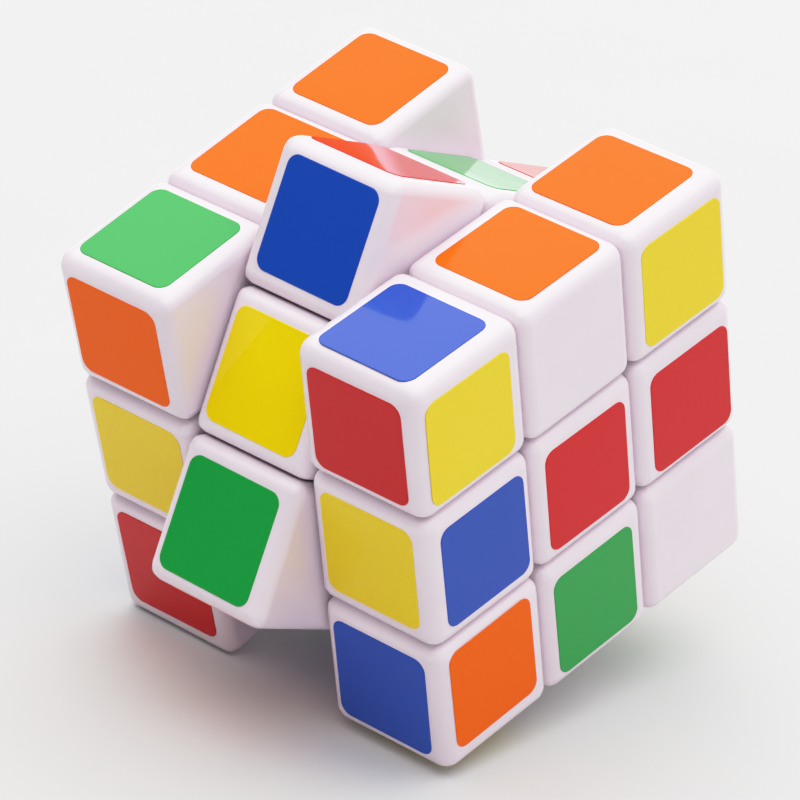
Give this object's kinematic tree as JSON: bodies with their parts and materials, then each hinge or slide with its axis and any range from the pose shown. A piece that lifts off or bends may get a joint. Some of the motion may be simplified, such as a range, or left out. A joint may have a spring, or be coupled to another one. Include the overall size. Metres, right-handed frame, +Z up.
{
  "type": "twisty puzzle cube",
  "caption": "Three-layer twisty puzzle cube with a sprung ball core, shown with its middle slice part-turned; the outer layers turn on it and each centre lifts on its spring.",
  "frame": {"origin": "middle of the ball core, where all six turning axes meet", "axes": "+X along the axis that the two outer layers turn about, towards the right layer; -Y the front; +Z up as the cube stands"},
  "size_m": [0.057, 0.071, 0.071],
  "materials": {
    "cubie_plastic": "gloss white moulded plastic",
    "inner_plastic": "as-moulded white plastic",
    "core_plastic": "as-moulded grey-white plastic",
    "screw_steel": "zinc-plated steel",
    "spring_steel": "drawn spring wire",
    "sticker_orange": "glossy vinyl film",
    "sticker_red": "glossy vinyl film",
    "sticker_blue": "glossy vinyl film",
    "sticker_green": "glossy vinyl film",
    "sticker_yellow": "glossy vinyl film"
  },
  "bodies": {
    "middle_slice": {"core": "core_plastic", "screw_left": "screw_steel", "washer_left": "screw_steel", "spring_left": "spring_steel", "screw_front": "screw_steel", "washer_front": "screw_steel", "spring_front": "spring_steel", "screw_down": "screw_steel", "washer_down": "screw_steel", "spring_down": "spring_steel", "screw_up": "screw_steel", "washer_up": "screw_steel", "spring_up": "spring_steel", "screw_back": "screw_steel", "washer_back": "screw_steel", "spring_back": "spring_steel", "screw_right": "screw_steel", "washer_right": "screw_steel", "spring_right": "spring_steel", "edge_front_down": "cubie_plastic", "edge_front_up": "cubie_plastic", "edge_back_down": "cubie_plastic", "edge_back_up": "cubie_plastic"},
    "left_layer": {"corner_shell_left_front_down": "cubie_plastic", "corner_foot_left_front_down": "inner_plastic", "corner_shell_left_front_up": "cubie_plastic", "corner_foot_left_front_up": "inner_plastic", "corner_shell_left_back_down": "cubie_plastic", "corner_foot_left_back_down": "inner_plastic", "corner_shell_left_back_up": "cubie_plastic", "corner_foot_left_back_up": "inner_plastic", "edge_left_front": "cubie_plastic", "edge_left_down": "cubie_plastic", "edge_left_up": "cubie_plastic", "edge_left_back": "cubie_plastic"},
    "right_layer": {"corner_shell_right_front_down": "cubie_plastic", "corner_foot_right_front_down": "inner_plastic", "corner_shell_right_front_up": "cubie_plastic", "corner_foot_right_front_up": "inner_plastic", "corner_shell_right_back_down": "cubie_plastic", "corner_foot_right_back_down": "inner_plastic", "corner_shell_right_back_up": "cubie_plastic", "corner_foot_right_back_up": "inner_plastic", "edge_right_front": "cubie_plastic", "edge_right_down": "cubie_plastic", "edge_right_up": "cubie_plastic", "edge_right_back": "cubie_plastic"},
    "left_centre": {"centre_base_left": "cubie_plastic", "centre_cap_left": "cubie_plastic"},
    "front_centre": {"centre_base_front": "cubie_plastic", "centre_cap_front": "cubie_plastic"},
    "down_centre": {"centre_base_down": "cubie_plastic", "centre_cap_down": "cubie_plastic"},
    "up_centre": {"centre_base_up": "cubie_plastic", "centre_cap_up": "cubie_plastic"},
    "back_centre": {"centre_base_back": "cubie_plastic", "centre_cap_back": "cubie_plastic"},
    "right_centre": {"centre_base_right": "cubie_plastic", "centre_cap_right": "cubie_plastic"}
  },
  "joints": [
    {"name": "left_layer_turn", "type": "hinge", "parent": "middle_slice", "child": "left_layer", "pos_m": [0, 0, 0], "axis": [1, 0, 0], "continuous": true},
    {"name": "right_layer_turn", "type": "hinge", "parent": "middle_slice", "child": "right_layer", "pos_m": [0, 0, 0], "axis": [1, 0, 0], "continuous": true},
    {"name": "left_centre_lift", "type": "slide", "parent": "left_layer", "child": "left_centre", "axis": [-1, 0, 0], "range_m": [0, 0.0005], "stiffness_N_per_m": 700, "springref_m": -0.002, "deforming": ["spring_left"]},
    {"name": "front_centre_lift", "type": "slide", "parent": "middle_slice", "child": "front_centre", "axis": [0, -0.9472, 0.3206], "range_m": [0, 0.0005], "stiffness_N_per_m": 700, "springref_m": -0.002, "deforming": ["spring_front"]},
    {"name": "down_centre_lift", "type": "slide", "parent": "middle_slice", "child": "down_centre", "axis": [0, -0.3206, -0.9472], "range_m": [0, 0.0005], "stiffness_N_per_m": 700, "springref_m": -0.002, "deforming": ["spring_down"]},
    {"name": "up_centre_lift", "type": "slide", "parent": "middle_slice", "child": "up_centre", "axis": [0, 0.3206, 0.9472], "range_m": [0, 0.0005], "stiffness_N_per_m": 700, "springref_m": -0.002, "deforming": ["spring_up"]},
    {"name": "back_centre_lift", "type": "slide", "parent": "middle_slice", "child": "back_centre", "axis": [0, 0.9472, -0.3206], "range_m": [0, 0.0005], "stiffness_N_per_m": 700, "springref_m": -0.002, "deforming": ["spring_back"]},
    {"name": "right_centre_lift", "type": "slide", "parent": "right_layer", "child": "right_centre", "axis": [1, 0, 0], "range_m": [0, 0.0005], "stiffness_N_per_m": 700, "springref_m": -0.002, "deforming": ["spring_right"]}
  ]
}
